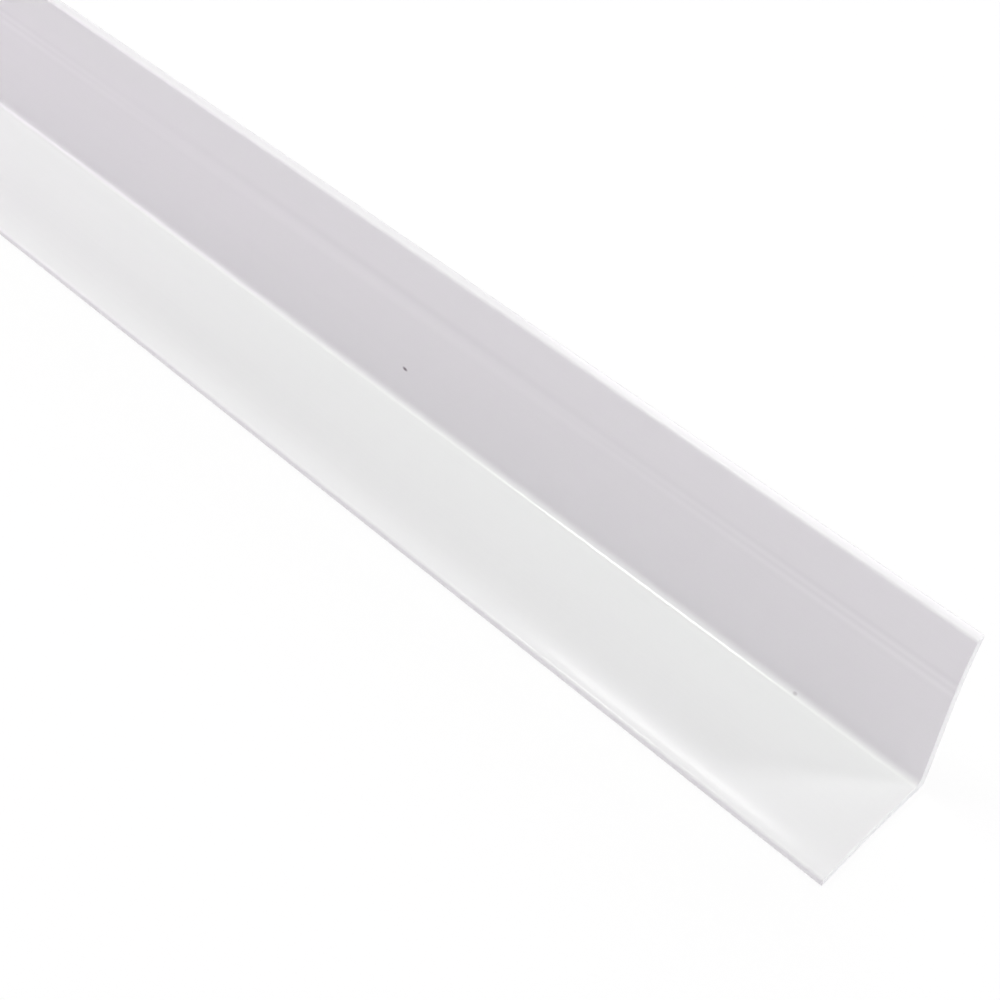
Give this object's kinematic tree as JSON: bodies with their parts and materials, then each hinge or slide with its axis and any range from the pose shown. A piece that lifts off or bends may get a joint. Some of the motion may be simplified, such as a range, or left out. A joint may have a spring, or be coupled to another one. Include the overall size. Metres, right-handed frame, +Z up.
{
  "type": "edge trim strip",
  "caption": "Rigid white plastic angle strip with unequal legs, a filleted inner corner, eased free edges and square-sawn ends, for covering panel edges and corners.",
  "frame": {"origin": "under the middle of the strip, at the centre of its bounding box in plan, on the level surface that the flat leg lies on", "axes": "+X along the extrusion towards the sawn end that the picture shows, +Y from the flat leg's free edge to the back of the tall leg, +Z up, the way the tall leg stands"},
  "size_m": [1, 0.02, 0.03],
  "materials": {
    "white_pvc_u": "satin, as extruded"
  },
  "bodies": {
    "root": {"edge_trim_strip": "white_pvc_u"}
  },
  "joints": []
}
